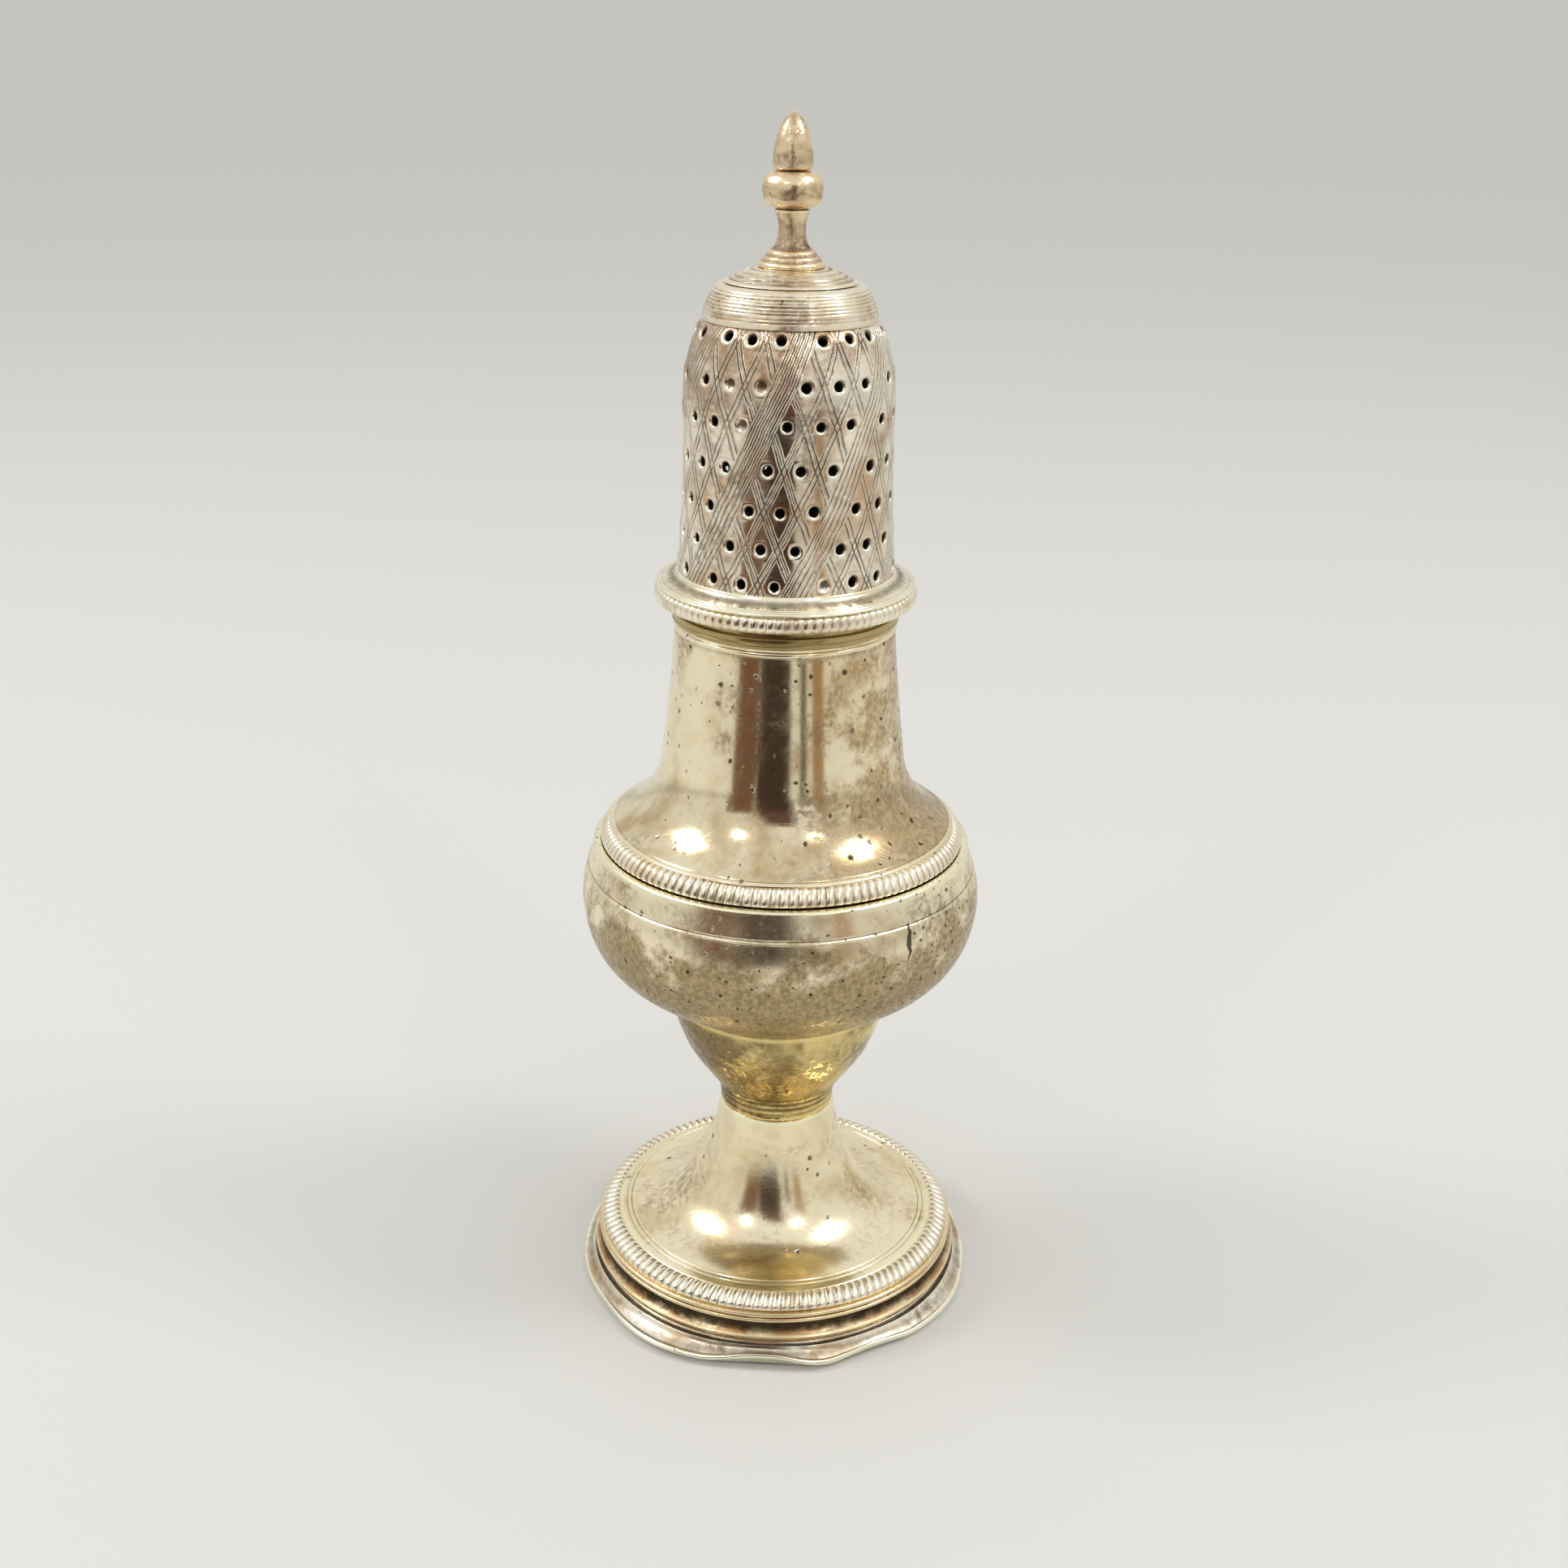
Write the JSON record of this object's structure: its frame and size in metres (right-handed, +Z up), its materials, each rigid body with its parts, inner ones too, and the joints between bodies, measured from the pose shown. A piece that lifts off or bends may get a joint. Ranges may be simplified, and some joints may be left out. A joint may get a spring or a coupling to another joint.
{
  "type": "pepper pot",
  "caption": "Vase-shaped silver pepper pot on a trumpet foot, with a tall pierced pull-off cover, beaded wires and an acorn finial.",
  "frame": {"origin": "middle of the foot's ring at the height of the table", "axes": "+Z up along the pot's axis to the tip of the finial; -Y is the side that the picture shows, +X to its right"},
  "size_m": [0.0492, 0.0491, 0.14],
  "materials": {
    "body_silver": "worn polished silver with a thin warm tarnish and dark pits",
    "foot_silver": "worn polished silver, warmly tarnished",
    "golden_silver": "polished silver under a golden tarnish",
    "cover_silver": "finely engraved silver with a brown tarnish in the cuts",
    "bead_wire_silver": "beaded silver wire, bright on top and dark between the beads",
    "finial_silver": "cast silver, satin from wear",
    "inner_silver": "dull unpolished silver"
  },
  "bodies": {
    "pot": {"foot_rim": "foot_silver", "foot_wall": "foot_silver", "foot_bead_wire": "bead_wire_silver", "foot_trumpet": "foot_silver", "calyx": "golden_silver", "bowl": "body_silver", "girdle_bead_wire": "bead_wire_silver", "neck": "body_silver", "neck_band": "golden_silver"},
    "bezel": {"cover_bezel": "inner_silver"},
    "cover": {"cover_flange": "cover_silver", "cover_bead_wire": "bead_wire_silver", "pierced_sleeve": "cover_silver", "reeded_dome": "cover_silver", "stepped_cap": "cover_silver", "finial_stem": "finial_silver", "acorn_cup": "finial_silver", "acorn_nut": "finial_silver"}
  },
  "joints": [
    {"name": "cover_lift", "type": "slide", "parent": "pot", "child": "bezel", "axis": [0, 0, 1], "range_m": [0, 0.045]},
    {"name": "cover_turn", "type": "hinge", "parent": "bezel", "child": "cover", "pos_m": [0, 0, 0.0877], "axis": [0, 0, 1], "continuous": true}
  ]
}
